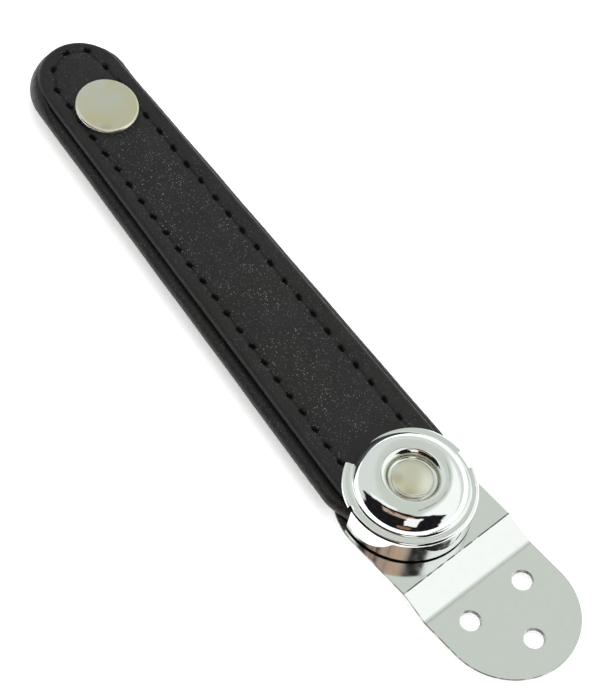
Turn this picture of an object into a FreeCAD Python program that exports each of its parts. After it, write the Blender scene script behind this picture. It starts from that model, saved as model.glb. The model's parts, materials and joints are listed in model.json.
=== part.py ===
"""Padded leather closing strap on a swivelling, stepped screw plate.

Millimetres, +Z up. The origin is on the plate's underside, midway between its two side-by-side screw
holes. +X runs from the screw tongue towards the pivot and on to the strap's free end. The plate's
tongue and the press-stud socket stand on Z = 0.
"""
import FreeCAD, Part
import math
import os

V = FreeCAD.Vector
UP = V(0, 0, 1)

# ---------------------------------------------------------------- driving dimensions
# screw plate
PLATE_T = 1.6
PLATE_STEP = 2.5
HOLE_PAIR_TO_PIVOT = 30.4
HOLE_PAIR_SPACING = 16.4
HOLE_END_OFFSET = 12.2
SCREW_HOLE_R = 2.3
SCREW_HOLE_CHAMFER = 0.35
TONGUE_R = 16.6
TONGUE_CENTRE_X = -4.0
PAD_R = 16.4
UPPER_BEND_TO_PIVOT = 16.9
LOWER_BEND_TO_PIVOT = 24.3
UPPER_BEND_R = 0.5
LOWER_BEND_R = 6.0
PLATE_EDGE_R = 0.3

# strap
STRAP_LENGTH = 140.2
STRAP_REST_YAW = -6.7
LOWER_T = 3.6
CORE_T = 0.5
UPPER_T = 2.3
LEATHER_T = 0.9
PAD_MARGIN = 2.1
LOWER_HALF_W = 16.2
LOWER_TIP_R = 12.4
UPPER_HALF_W = 13.6
UPPER_TIP_R = 10.4
UPPER_TIP_SETBACK = 1.6
WIDTH_STATION = 20.0
STRAP_NECK_X = 3.0
STRAP_SHOULDER_X = 9.0
CORE_INSET = 1.7
FLEX_X = 25.0
FLEX_CLEARANCE = 0.35

# stitching
STITCH_HALF_W = 9.64
STITCH_OFFSET_Y = 0.3
STITCH_TAPER = 0.0227
STITCH_PITCH_LEFT = 5.0
STITCH_PITCH_RIGHT = 5.35
STITCH_LAST_LEFT = 128.3
STITCH_LAST_RIGHT = 128.2
STITCH_FIRST = 12.0
TIP_STITCH_HOLES = ((133.7, 4.5), (136.0, -0.7), (134.1, -5.4))
STITCH_GAP = 1.3
THREAD_R = 0.35
SEAM_STITCHES = 3
SEAM_STITCH_PITCH = 3.2

# pivot rivet
SHANK_R = 2.0
RIVET_HEAD_R = 4.6
RIVET_HEAD_T = 1.0
BACK_WASHER_R = 5.2
BACK_WASHER_T = 0.4
FRICTION_WASHER_R = 6.5
FRICTION_WASHER_T = 0.3
GROMMET_WALL = 0.7
GROMMET_FLANGE_R = 4.6
GROMMET_FLANGE_T = 0.4
BUTTON_R = 4.8
BUTTON_EDGE_H = 0.9
BUTTON_CROWN = 0.9
BUTTON_SHELL_T = 0.4

# cup
CUP_R = 15.6
CUP_SHEET_T = 0.8
CUP_HEIGHT_OVER_BRIM = 4.3
CUP_RIM_GAP = 0.7
CUP_BRIM_EDGE_R = 1.0
CUP_BRIM_FLAT = 0.65
CUP_OUTER_FILLET_R = 0.85
CUP_TO_BUTTON = 0.3
CUP_INNER_CREST_R = 1.7
CUP_INNER_SLOPE = 80.0
CUP_FLOOR_DEPTH = 2.1
CUP_MOUTH = (-96.0, 80.0)
CUP_TRIM_R = 14.9
CUP_TRIM_CENTRE = (-1.2, -1.5)
CUP_TRIM = (-80.0, 36.0)
CUP_SIDE_NOTCHES = ((-104.0, -86.0, 14.2), (79.0, 84.0, 14.7))

# press stud
STUD_X = 118.4
STUD_CAP_R = 7.5
STUD_CAP_EDGE_H = 1.1
STUD_CAP_CROWN = 0.5
STUD_CAP_SHELL_T = 0.4
BARREL_R = 2.2
BARREL_WALL = 0.5
BARREL_DISC_R = 6.4
BARREL_FLARE_R = 3.2
SOCKET_FLANGE_R = 6.4
SOCKET_WALL_T = 0.6
SOCKET_R = 4.9
SOCKET_MOUTH_R = 3.4
SOCKET_LIP_T = 1.2
SOCKET_CHAMBER_R = 4.1
SPRING_WIRE_R = 0.35
SPRING_RING_R = 3.6
SPRING_GAP_DEG = 50.0

# fits
RUNNING = 0.06
LIFT = 0.1
CUP_TO_STRAP = 0.3

# ---------------------------------------------------------------- heights that follow
PAD_TOP = PLATE_STEP + PLATE_T
STRAP_BOTTOM = PAD_TOP + FRICTION_WASHER_T
LOWER_TOP = STRAP_BOTTOM + LOWER_T
CORE_TOP = LOWER_TOP + CORE_T
STRAP_TOP = CORE_TOP + UPPER_T
STRAP_T = STRAP_TOP - STRAP_BOTTOM
FLEX_Z = (STRAP_TOP + STRAP_BOTTOM) / 2
BRIM_Z = STRAP_TOP + LIFT + CUP_SHEET_T
CREST_Z = BRIM_Z + CUP_HEIGHT_OVER_BRIM
CUP_FLOOR_Z = CREST_Z - CUP_FLOOR_DEPTH
CUP_RIM_Z = PAD_TOP + CUP_RIM_GAP
STRAP_ROOT_R = CUP_R - CUP_SHEET_T - CUP_TO_STRAP
SEAM_THREAD_R = CORE_T / 2
BUTTON_Z = CUP_FLOOR_Z + LIFT
RUN_R = SHANK_R + RUNNING


# ---------------------------------------------------------------- shape helpers
def profile(start, steps):
    """Close a profile in the XZ plane: a step is a point, or (middle, end) of an arc."""
    edges = []
    here = V(start[0], 0, start[1])
    for step in steps:
        if isinstance(step[0], tuple):
            middle = V(step[0][0], 0, step[0][1])
            end = V(step[1][0], 0, step[1][1])
            edges.append(Part.Arc(here, middle, end).toShape())
        else:
            end = V(step[0], 0, step[1])
            edges.append(Part.LineSegment(here, end).toShape())
        here = end
    return Part.Face(Part.Wire(edges))


def turned(start, steps):
    """A solid of revolution about Z through the pivot."""
    return profile(start, steps).revolve(V(0, 0, 0), UP, 360)


def arc_step(centre, radius, from_deg, to_deg):
    """An arc step about a centre in the XZ plane, angles from +X towards +Z."""
    def at(degrees):
        angle = math.radians(degrees)
        return (centre[0] + radius * math.cos(angle), centre[1] + radius * math.sin(angle))
    return (at((from_deg + to_deg) / 2), at(to_deg))


def tube(outer_r, inner_r, low, high):
    """A ring or washer about Z."""
    body = Part.makeCylinder(outer_r, high - low, V(0, 0, low))
    if inner_r <= 0:
        return body
    return body.cut(Part.makeCylinder(inner_r, high - low + 2, V(0, 0, low - 1)))


def sector(inner_r, outer_r, low, high, from_deg, to_deg):
    """A block between two radii and two angles."""
    block = profile((inner_r, low), [(outer_r, low), (outer_r, high), (inner_r, high), (inner_r, low)])
    block.rotate(V(0, 0, 0), UP, from_deg)
    return block.revolve(V(0, 0, 0), UP, to_deg - from_deg)


def edges_at(shape, low, high):
    """Edges that lie wholly between two heights."""
    return [e for e in shape.Edges if e.BoundBox.ZMin > low and e.BoundBox.ZMax < high]


def rounded(shape, low, high, radius):
    """Fillet every edge between two heights."""
    return shape.makeFillet(radius, edges_at(shape, low, high))


def place_plate(shape):
    """From the pivot's axis to the part's frame, for what stays with the plate."""
    return shape.translated(V(HOLE_PAIR_TO_PIVOT, 0, 0))


def place_strap(shape):
    """From the pivot's axis to the part's frame, for what swings with the strap."""
    turned_shape = shape.copy()
    turned_shape.rotate(V(0, 0, 0), UP, STRAP_REST_YAW)
    return place_plate(turned_shape)


def save(name, shape, place):
    """Write one node's STEP file."""
    result = place(shape)
    if not result.isValid():
        raise ValueError(name + " is not a valid shape")
    result.exportStep("parts/" + name + ".step")
    print(name, len(result.Solids), "solids", round(result.Volume, 2), "mm3")


# ---------------------------------------------------------------- screw plate
def plate_side():
    """The plate's joggled side view, as a face in the XZ plane with rounded bends."""
    far = PAD_R + 5
    near = -(HOLE_PAIR_TO_PIVOT - TONGUE_CENTRE_X + TONGUE_R + 5)
    drop = PLATE_STEP
    run = LOWER_BEND_TO_PIVOT - UPPER_BEND_TO_PIVOT
    shift = PLATE_T * math.tan(math.atan2(drop, run) / 2)
    top = [(far, PAD_TOP), (-UPPER_BEND_TO_PIVOT, PAD_TOP), (-LOWER_BEND_TO_PIVOT, PLATE_T), (near, PLATE_T)]
    bottom = [(near, 0), (-LOWER_BEND_TO_PIVOT + shift, 0), (-UPPER_BEND_TO_PIVOT + shift, drop), (far, drop)]
    slab = profile(top[0], top[1:] + bottom + [top[0]])
    slab = slab.extrude(V(0, 4 * PAD_R, 0)).translated(V(0, -2 * PAD_R, 0))
    bends = []
    for x, z, radius in (
        (-LOWER_BEND_TO_PIVOT, PLATE_T, LOWER_BEND_R),
        (-UPPER_BEND_TO_PIVOT + shift, drop, LOWER_BEND_R),
        (-UPPER_BEND_TO_PIVOT, PAD_TOP, UPPER_BEND_R),
    ):
        bends.append((x, z, radius))
    for x, z, radius in bends:
        near_edge = [e for e in slab.Edges if abs(e.BoundBox.XMin - x) < 0.01 and abs(e.BoundBox.ZMin - z) < 0.01
                     and e.BoundBox.YLength > PAD_R]
        slab = slab.makeFillet(radius, near_edge)
    return slab


def plate_outline():
    """The plate's plan: the tongue's round end, straight flanks and the pad's round end."""
    tongue_x = TONGUE_CENTRE_X - HOLE_PAIR_TO_PIVOT
    slope = math.asin((PAD_R - TONGUE_R) / abs(tongue_x))
    lean, rise = math.sin(slope), math.cos(slope)
    pad_top = V(-PAD_R * lean, PAD_R * rise, 0)
    pad_low = V(-PAD_R * lean, -PAD_R * rise, 0)
    tongue_top = V(tongue_x - TONGUE_R * lean, TONGUE_R * rise, 0)
    tongue_low = V(tongue_x - TONGUE_R * lean, -TONGUE_R * rise, 0)
    wire = Part.Wire([
        Part.Arc(pad_low, V(PAD_R, 0, 0), pad_top).toShape(),
        Part.LineSegment(pad_top, tongue_top).toShape(),
        Part.Arc(tongue_top, V(tongue_x - TONGUE_R, 0, 0), tongue_low).toShape(),
        Part.LineSegment(tongue_low, pad_low).toShape(),
    ])
    return Part.Face(wire)


def mounting_plate():
    """Stepped screw plate with three screw holes and the pivot hole."""
    column = plate_outline().extrude(V(0, 0, PAD_TOP + 2)).translated(V(0, 0, -1))
    plate = plate_side().common(column)
    for x, y in screw_holes():
        plate = plate.cut(Part.makeCylinder(SCREW_HOLE_R, PLATE_T + 2, V(x, y, -1)))
        flare = SCREW_HOLE_R + SCREW_HOLE_CHAMFER
        rim = Part.makeCone(SCREW_HOLE_R, flare, SCREW_HOLE_CHAMFER, V(x, y, PLATE_T - SCREW_HOLE_CHAMFER))
        plate = plate.cut(rim)
    return plate.cut(Part.makeCylinder(SHANK_R, PAD_TOP + 2, V(0, 0, -1)))


def screw_holes():
    """Screw hole centres, measured from the pivot."""
    pair_x = -HOLE_PAIR_TO_PIVOT
    half = HOLE_PAIR_SPACING / 2
    return [(pair_x, -half), (pair_x, half), (pair_x - HOLE_END_OFFSET, 0)]


# ---------------------------------------------------------------- pivot rivet
def back_washer():
    """Steel washer between the rivet's head and the plate's underside."""
    return tube(BACK_WASHER_R, SHANK_R, PLATE_STEP - BACK_WASHER_T, PLATE_STEP)


def rivet_post():
    """Rivet with a flat head under the plate and a shank up into the button."""
    head_top = PLATE_STEP - BACK_WASHER_T
    head = Part.makeCylinder(RIVET_HEAD_R, RIVET_HEAD_T, V(0, 0, head_top - RIVET_HEAD_T))
    head = rounded(head, head_top - RIVET_HEAD_T - 0.01, head_top - RIVET_HEAD_T + 0.01, RIVET_HEAD_T / 3)
    shank_top = BUTTON_Z + BUTTON_EDGE_H
    return head.fuse(Part.makeCylinder(SHANK_R, shank_top - head_top, V(0, 0, head_top))).removeSplitter()


def straight_wall(edge_h):
    """Height of a cap's plain skirt, below its rounded shoulder."""
    return edge_h * 0.4


def crowned_shell(radius, wall, base, edge_h, crown):
    """A thin domed cap with a rounded shoulder and a plain skirt, open below."""
    shoulder = edge_h - straight_wall(edge_h)
    top = base + edge_h + crown
    flat_r = radius - shoulder
    crown_r = (flat_r ** 2 + crown ** 2) / (2 * crown)
    centre = (0, top - crown_r)
    edge_deg = math.degrees(math.atan2(crown_r - crown, flat_r))
    outer = [
        (radius, base + edge_h - shoulder),
        arc_step((flat_r, base + edge_h - shoulder), shoulder, 0, 90),
        arc_step(centre, crown_r, edge_deg, 90),
    ]
    inner = [
        (0, top - wall),
        arc_step(centre, crown_r - wall, 90, edge_deg),
        (radius - wall, base + edge_h - shoulder),
        (radius - wall, base),
        (radius, base),
    ]
    return turned((radius, base), outer + inner)


def rivet_cap():
    """The button: a domed cap in the cup's recess."""
    return crowned_shell(BUTTON_R, BUTTON_SHELL_T, BUTTON_Z, BUTTON_EDGE_H, BUTTON_CROWN)


def rivet_cap_core():
    """Disc inside the button that grips the top of the shank."""
    radius = BUTTON_R - BUTTON_SHELL_T
    return tube(radius, SHANK_R, BUTTON_Z, BUTTON_Z + straight_wall(BUTTON_EDGE_H))


def pivot_washer():
    """Fibre friction washer between the plate and the strap."""
    return tube(FRICTION_WASHER_R, RUN_R, PAD_TOP, PAD_TOP + FRICTION_WASHER_T)


def pivot_grommet():
    """Eyelet that lines the strap's pivot hole, with one rolled flange on top."""
    barrel = tube(RUN_R + GROMMET_WALL, RUN_R, STRAP_BOTTOM, STRAP_TOP)
    flange = tube(GROMMET_FLANGE_R, RUN_R, STRAP_TOP, STRAP_TOP + GROMMET_FLANGE_T)
    return barrel.fuse(flange).removeSplitter()


def cup_washer():
    """Steel spacer that carries the cup's floor on the grommet."""
    return tube(GROMMET_FLANGE_R, RUN_R, STRAP_TOP + GROMMET_FLANGE_T, CUP_FLOOR_Z - CUP_SHEET_T)


# ---------------------------------------------------------------- cup
def cup_curve(offset):
    """Half section of the cup from its floor to its rim, moved inwards by an offset."""
    inner_slope = math.radians(CUP_INNER_SLOPE)
    inner_total = CUP_FLOOR_DEPTH / (1 - math.cos(inner_slope))
    inner_arc = CUP_INNER_CREST_R - offset
    inner_fillet = inner_total - inner_arc
    floor_r = BUTTON_R + CUP_TO_BUTTON
    crest_r = floor_r + inner_total * math.sin(inner_slope)
    inner_centre = (crest_r, CREST_Z - CUP_INNER_CREST_R)
    floor_centre = (floor_r, CUP_FLOOR_Z - offset + inner_fillet)
    brim_r = CUP_R - CUP_BRIM_EDGE_R - CUP_BRIM_FLAT
    slope = 2 * math.atan(CUP_HEIGHT_OVER_BRIM / (brim_r - crest_r))
    outer_total = (brim_r - crest_r) / math.sin(slope)
    outer_arc = outer_total - CUP_OUTER_FILLET_R - offset
    outer_fillet = outer_total - outer_arc
    outer_centre = (crest_r, CREST_Z - outer_arc - offset)
    fillet_centre = (brim_r, BRIM_Z - offset + outer_fillet)
    edge_r = CUP_BRIM_EDGE_R - offset
    edge_centre = (CUP_R - CUP_BRIM_EDGE_R, BRIM_Z - CUP_BRIM_EDGE_R)
    start = (RUN_R, CUP_FLOOR_Z - offset)
    steps = [
        (floor_centre[0], CUP_FLOOR_Z - offset),
        arc_step(floor_centre, inner_fillet, -90, CUP_INNER_SLOPE - 90),
        arc_step(inner_centre, inner_arc, CUP_INNER_SLOPE + 90, 90),
        arc_step(outer_centre, outer_arc, 90, 90 - math.degrees(slope)),
        arc_step(fillet_centre, outer_fillet, 270 - math.degrees(slope), 270),
        (edge_centre[0], BRIM_Z - offset),
        arc_step(edge_centre, edge_r, 90, 0),
        (CUP_R - offset, CUP_RIM_Z),
    ]
    return start, steps


def cup_body():
    """The pressed cup before its edges are cut: recess, crest, brim and skirt."""
    start, outer = cup_curve(0)
    inner_start, inner = cup_curve(CUP_SHEET_T)
    solids = []
    for first, steps in ((start, outer), (inner_start, inner)):
        rim_r = steps[-1][0]
        low = CUP_RIM_Z if steps is outer else CUP_RIM_Z - 1
        closed = steps[:-1] + [(rim_r, low), (RUN_R, low), first]
        solids.append(turned(first, closed))
    return solids[0].cut(solids[1])


def dome_cup():
    """Chromed cup over the strap's root, open on the side where the strap leaves."""
    cup = cup_body()
    cup = cup.cut(sector(CUP_R - 3, CUP_R + 2, 0, STRAP_TOP + LIFT, *CUP_MOUTH))
    for from_deg, to_deg, depth_r in CUP_SIDE_NOTCHES:
        cup = cup.cut(sector(depth_r, CUP_R + 2, 0, BRIM_Z + 1, from_deg, to_deg))
    keep = Part.makeCylinder(CUP_TRIM_R, 30, V(CUP_TRIM_CENTRE[0], CUP_TRIM_CENTRE[1], 0))
    trim = sector(CUP_R - 4, CUP_R + 2, 0, CREST_Z, *CUP_TRIM).cut(keep)
    return cup.cut(trim)


# ---------------------------------------------------------------- strap
def strap_face(half_w, tip_r, tip_x, root_r, inset, z):
    """Plan of one strap layer: round root, shoulders, tapering sides and round tip."""
    station_w = half_w - inset
    radius = tip_r - inset
    centre_x = tip_x - tip_r
    root = root_r - inset
    span = centre_x - WIDTH_STATION
    aim = math.atan2(station_w, span) - math.asin(radius / math.hypot(span, station_w))
    touch = V(centre_x + radius * math.sin(aim), radius * math.cos(aim), z)
    shoulder_w = station_w + (WIDTH_STATION - STRAP_SHOULDER_X) * math.tan(aim)
    corners = [V(0, root, z), V(STRAP_NECK_X, root, z), V(STRAP_SHOULDER_X, shoulder_w, z), touch]

    def mirror(point):
        return V(point.x, -point.y, point.z)

    edges = [Part.LineSegment(a, b).toShape() for a, b in zip(corners, corners[1:])]
    edges.append(Part.Arc(touch, V(centre_x + radius, 0, z), mirror(touch)).toShape())
    back = [mirror(p) for p in reversed(corners)]
    edges += [Part.LineSegment(a, b).toShape() for a, b in zip(back, back[1:])]
    edges.append(Part.Arc(mirror(corners[0]), V(-root, 0, z), corners[0]).toShape())
    return Part.Face(Part.Wire(edges))


def lower_slab(inset, low, high):
    face = strap_face(LOWER_HALF_W, LOWER_TIP_R, STRAP_LENGTH, STRAP_ROOT_R, inset, low)
    return face.extrude(V(0, 0, high - low))


def upper_slab(inset, low, high):
    tip = STRAP_LENGTH - UPPER_TIP_SETBACK
    root = min(STRAP_ROOT_R, UPPER_HALF_W)
    face = strap_face(UPPER_HALF_W, UPPER_TIP_R, tip, root, inset, low)
    return face.extrude(V(0, 0, high - low))


def lower_padding():
    """Felt between the lower leather and the stiffener."""
    return lower_slab(PAD_MARGIN, STRAP_BOTTOM + LEATHER_T, LOWER_TOP)


def lower_leather():
    """Under cover, rolled round the felt with full round edges."""
    slab = lower_slab(0, STRAP_BOTTOM, LOWER_TOP)
    slab = slab.makeFillet(LOWER_T / 2 - 0.05, edges_at(slab, STRAP_BOTTOM - 0.1, STRAP_BOTTOM + 0.1))
    slab = slab.makeFillet(LOWER_T / 2 - 0.05, edges_at(slab, LOWER_TOP - 0.1, LOWER_TOP + 0.1))
    return slab.cut(lower_padding())


def core_stiffener():
    """Board between the two padded halves, set in from their edges."""
    return upper_slab(CORE_INSET, LOWER_TOP, CORE_TOP)


def upper_padding():
    """Foam under the upper leather."""
    return upper_slab(PAD_MARGIN, CORE_TOP, STRAP_TOP - LEATHER_T)


def upper_leather():
    """Upper cover, turned down over the foam's edge."""
    slab = upper_slab(0, CORE_TOP, STRAP_TOP)
    slab = rounded(slab, STRAP_TOP - 0.1, STRAP_TOP + 0.1, UPPER_T * 0.5)
    slab = slab.makeFillet(UPPER_T * 0.3, edges_at(slab, CORE_TOP - 0.1, CORE_TOP + 0.1))
    return slab.cut(upper_padding())


def strap_holes():
    """Clear the pivot's grommet and the press stud's barrel."""
    height = STRAP_T + 4
    pivot = Part.makeCylinder(RUN_R + GROMMET_WALL, height, V(0, 0, STRAP_BOTTOM - 2))
    stud = Part.makeCylinder(BARREL_R, height, V(STUD_X, 0, STRAP_BOTTOM - 2))
    return pivot.fuse(stud)


def root_region():
    """Space that the fixed root of the strap keeps, up to the flex line."""
    width = 2 * LOWER_HALF_W + 10
    end = FLEX_X - STRAP_T / 2 - FLEX_CLEARANCE
    return Part.makeBox(end + 40, width, 40, V(-40, -width / 2, -5))


def free_region():
    """Space that the swinging length keeps, with a round end on the flex axis."""
    width = 2 * LOWER_HALF_W + 10
    block = Part.makeBox(STRAP_LENGTH + 40, width, 40, V(FLEX_X, -width / 2, -5))
    nose = Part.makeCylinder(STRAP_T / 2, width, V(FLEX_X, -width / 2, FLEX_Z), V(0, 1, 0))
    return block.fuse(nose)


# ---------------------------------------------------------------- stitching
def row_y(x, side):
    return STITCH_OFFSET_Y + side * (STITCH_HALF_W - STITCH_TAPER * x)


def thread_run(start, end, radius):
    """One visible run of thread with round ends."""
    along = end - start
    run = Part.makeCylinder(radius, along.Length, start, along)
    return run.fuse([Part.makeSphere(radius, start), Part.makeSphere(radius, end)])


def stitch_between(here, there):
    """A stitch that leaves its share of the gap at each end."""
    along = there - here
    along.normalize()
    margin = along * (STITCH_GAP / 2)
    return thread_run(here + margin, there - margin, THREAD_R)


def row_points(side, last, pitch):
    """Hole places along one edge of the strap, from the tip end to the cup."""
    points = []
    x = last
    while x > STITCH_FIRST:
        points.append(V(x, row_y(x, side), STRAP_TOP))
        x -= pitch
    return points


def row_stitches(side, last, pitch, low_x, high_x):
    """The stitches of one row between two places, without those that run under the stud's cap."""
    stud = V(STUD_X, 0, STRAP_TOP)
    points = row_points(side, last, pitch)
    runs = []
    for far, near in zip(points, points[1:]):
        under_cap = ((near + far) / 2 - stud).Length < STUD_CAP_R + THREAD_R
        if near.x >= low_x and far.x <= high_x and not under_cap:
            runs.append(stitch_between(near, far))
    return Part.makeCompound(runs)


def tip_stitches():
    """Stitches that carry the seam round the tip from one row to the other."""
    points = [V(STITCH_LAST_LEFT, row_y(STITCH_LAST_LEFT, 1), STRAP_TOP)]
    points += [V(x, y, STRAP_TOP) for x, y in TIP_STITCH_HOLES]
    points.append(V(STITCH_LAST_RIGHT, row_y(STITCH_LAST_RIGHT, -1), STRAP_TOP))
    return Part.makeCompound([stitch_between(a, b) for a, b in zip(points, points[1:])])


def seam_stitches():
    """Short stitches in the side seam near the tip, on both edges."""
    runs = []
    tip_centre = STRAP_LENGTH - UPPER_TIP_SETBACK - UPPER_TIP_R
    for side in (-1, 1):
        for index in range(SEAM_STITCHES):
            x = tip_centre - 1 - index * SEAM_STITCH_PITCH
            y = side * (UPPER_TIP_R - CORE_INSET + SEAM_THREAD_R)
            z = LOWER_TOP + CORE_T / 2
            half = V(SEAM_STITCH_PITCH / 4, 0, 0)
            runs.append(thread_run(V(x, y, z) - half, V(x, y, z) + half, SEAM_THREAD_R))
    return Part.makeCompound(runs)


# ---------------------------------------------------------------- press stud
def at_stud(shape):
    return shape.translated(V(STUD_X, 0, 0))


def snap_cap():
    """Round cap on the strap's top face."""
    return at_stud(crowned_shell(STUD_CAP_R, STUD_CAP_SHELL_T, STRAP_TOP, STUD_CAP_EDGE_H, STUD_CAP_CROWN))


def snap_barrel():
    """Disc in the cap with a tube through the strap, flared inside the socket."""
    disc_top = STRAP_TOP + STUD_CAP_EDGE_H - STUD_CAP_SHELL_T - 0.1
    inner = BARREL_R - BARREL_WALL
    disc = tube(BARREL_DISC_R, 0, STRAP_TOP, disc_top)
    stem = tube(BARREL_R, 0, STRAP_BOTTOM - SOCKET_WALL_T, STRAP_TOP)
    flare_top = STRAP_BOTTOM - SOCKET_WALL_T
    flare = tube(BARREL_FLARE_R, 0, flare_top - BARREL_WALL, flare_top)
    body = disc.fuse([stem, flare]).removeSplitter()
    bore = Part.makeCylinder(inner, STRAP_TOP - flare_top + 2, V(0, 0, flare_top - 2))
    return at_stud(body.cut(bore))


def snap_socket():
    """Socket under the strap: flange, cup wall, spring chamber and mouth."""
    roof = STRAP_BOTTOM - SOCKET_WALL_T
    edge = SOCKET_WALL_T / 2
    body = turned(
        (BARREL_R, STRAP_BOTTOM),
        [
            (SOCKET_FLANGE_R, STRAP_BOTTOM),
            (SOCKET_FLANGE_R, roof),
            (SOCKET_R, roof),
            (SOCKET_R, edge),
            (SOCKET_R - edge, 0),
            (SOCKET_MOUTH_R, 0),
            (SOCKET_MOUTH_R, SOCKET_LIP_T),
            (SOCKET_CHAMBER_R, SOCKET_LIP_T),
            (SOCKET_CHAMBER_R, roof),
            (BARREL_R, roof),
            (BARREL_R, STRAP_BOTTOM),
        ],
    )
    return at_stud(body)


def snap_spring():
    """Open wire ring in the socket that grips the stud."""
    z = SOCKET_LIP_T + SPRING_WIRE_R
    ring = Part.makeTorus(SPRING_RING_R, SPRING_WIRE_R, V(0, 0, z))
    gap = sector(SPRING_RING_R - 1, SPRING_RING_R + 1, z - 1, z + 1, -SPRING_GAP_DEG / 2, SPRING_GAP_DEG / 2)
    return at_stud(ring.cut(gap))


# ---------------------------------------------------------------- write every node
def write_plate_nodes():
    for maker in (mounting_plate, back_washer, rivet_post, rivet_cap, rivet_cap_core):
        save(maker.__name__, maker(), place_plate)


def write_pivot_nodes():
    for maker in (dome_cup, cup_washer, pivot_grommet, pivot_washer):
        save(maker.__name__, maker(), place_strap)


def write_strap_nodes():
    holes = strap_holes()
    root = root_region()
    free = free_region()
    for maker in (upper_leather, upper_padding, core_stiffener, lower_padding, lower_leather):
        layer = maker().cut(holes)
        save(maker.__name__ + "_root", layer.common(root), place_strap)
        save(maker.__name__ + "_free", layer.common(free), place_strap)


def write_stitch_nodes():
    root_end = FLEX_X - STRAP_T / 2 - FLEX_CLEARANCE
    left = (1, STITCH_LAST_LEFT, STITCH_PITCH_LEFT)
    right = (-1, STITCH_LAST_RIGHT, STITCH_PITCH_RIGHT)
    both = [row_stitches(*row, 0, root_end) for row in (left, right)]
    save("stitching_root", Part.makeCompound(both), place_strap)
    save("stitching_left", row_stitches(*left, FLEX_X, STRAP_LENGTH), place_strap)
    save("stitching_right", row_stitches(*right, FLEX_X, STRAP_LENGTH), place_strap)
    save("stitching_tip", tip_stitches(), place_strap)
    save("stitching_side_seam", seam_stitches(), place_strap)


def write_stud_nodes():
    for maker in (snap_cap, snap_barrel, snap_socket, snap_spring):
        save(maker.__name__, maker(), place_strap)


os.makedirs("parts", exist_ok=True)
write_plate_nodes()
write_pivot_nodes()
write_strap_nodes()
write_stitch_nodes()
write_stud_nodes()
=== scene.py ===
"""Looks of the padded leather closing strap: leather, thread, padding, plated metal and a plain studio."""
import json
import math

import bpy
import numpy as np
from mathutils import Matrix, Vector


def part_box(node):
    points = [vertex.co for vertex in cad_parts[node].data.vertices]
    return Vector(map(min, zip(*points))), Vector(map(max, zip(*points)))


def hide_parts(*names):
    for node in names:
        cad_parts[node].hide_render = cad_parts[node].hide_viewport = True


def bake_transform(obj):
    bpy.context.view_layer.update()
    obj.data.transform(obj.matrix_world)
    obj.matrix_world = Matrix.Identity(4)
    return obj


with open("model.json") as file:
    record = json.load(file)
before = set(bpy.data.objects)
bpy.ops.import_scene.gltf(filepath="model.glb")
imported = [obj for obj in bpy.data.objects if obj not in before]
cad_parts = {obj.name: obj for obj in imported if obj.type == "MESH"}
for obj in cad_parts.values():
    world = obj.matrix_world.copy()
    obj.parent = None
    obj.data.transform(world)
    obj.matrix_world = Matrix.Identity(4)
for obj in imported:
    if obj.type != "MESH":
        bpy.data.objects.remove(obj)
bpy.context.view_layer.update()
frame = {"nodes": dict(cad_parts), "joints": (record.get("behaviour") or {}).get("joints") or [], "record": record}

bl_info = {
    "name": "Padded closing strap",
    "version": (1, 0, 0),
    "blender": (4, 5, 0),
    "location": "3D View > Sidebar > Closing strap",
    "description": "Builds the leather, stitching, padding, plated finishes and studio of a closing strap",
    "category": "Object",
}

MM = 0.001


# ---------------------------------------------------------------- places that come from the frame
def joint(name):
    return next(j for j in frame["joints"] if j["name"] == name)


PIVOT = Vector(joint("pivot_swivel")["pos_m"])
FLEX = Vector(joint("strap_flex")["pos_m"])
ALONG = Vector((FLEX.x - PIVOT.x, FLEX.y - PIVOT.y, 0)).normalized()
ACROSS = Vector((-ALONG.y, ALONG.x, 0))
STUD = Vector(next(m for m in frame["record"]["mounts"] if m["name"] == "snap_socket_mouth")["pos_m"])
STUD_X = (STUD.xy - PIVOT.xy).length / MM
STRAP_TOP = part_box("upper_leather_free")[1].z / MM
UPPER_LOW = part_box("upper_leather_free")[0].z / MM
LOWER_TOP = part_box("lower_leather_free")[1].z / MM
STRAP_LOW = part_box("lower_leather_free")[0].z / MM
FOAM_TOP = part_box("upper_padding_free")[1].z / MM
FELT_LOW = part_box("lower_padding_free")[0].z / MM
BUTTON_R = (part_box("rivet_cap")[1].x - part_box("rivet_cap")[0].x) / 2 / MM
PAD_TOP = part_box("mounting_plate")[1].z
# the plate's step, in metres from the pivot: its upper and lower crease, and the height of the lower plate
BEND_X, FOOT_X, FOOT_TOP = -0.0169, -0.0243, 0.0016
SEAT_R = (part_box("snap_cap")[1].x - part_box("snap_cap")[0].x) / 2 / MM


def strap_to_row(points):
    """Points in mm on the strap's own axes, as metres in the row frame."""
    points = np.asarray(points, float).reshape(-1, 3)
    turn = np.array([ALONG, ACROSS, (0, 0, 1)], float)
    return points * MM @ turn + np.array((PIVOT.x, PIVOT.y, 0))


# level directions of the light tent: towards its open front, and along that front
NEAR = (-0.557, 0.830, 0.0)
ASIDE = (-0.830, -0.557, 0.0)


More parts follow.
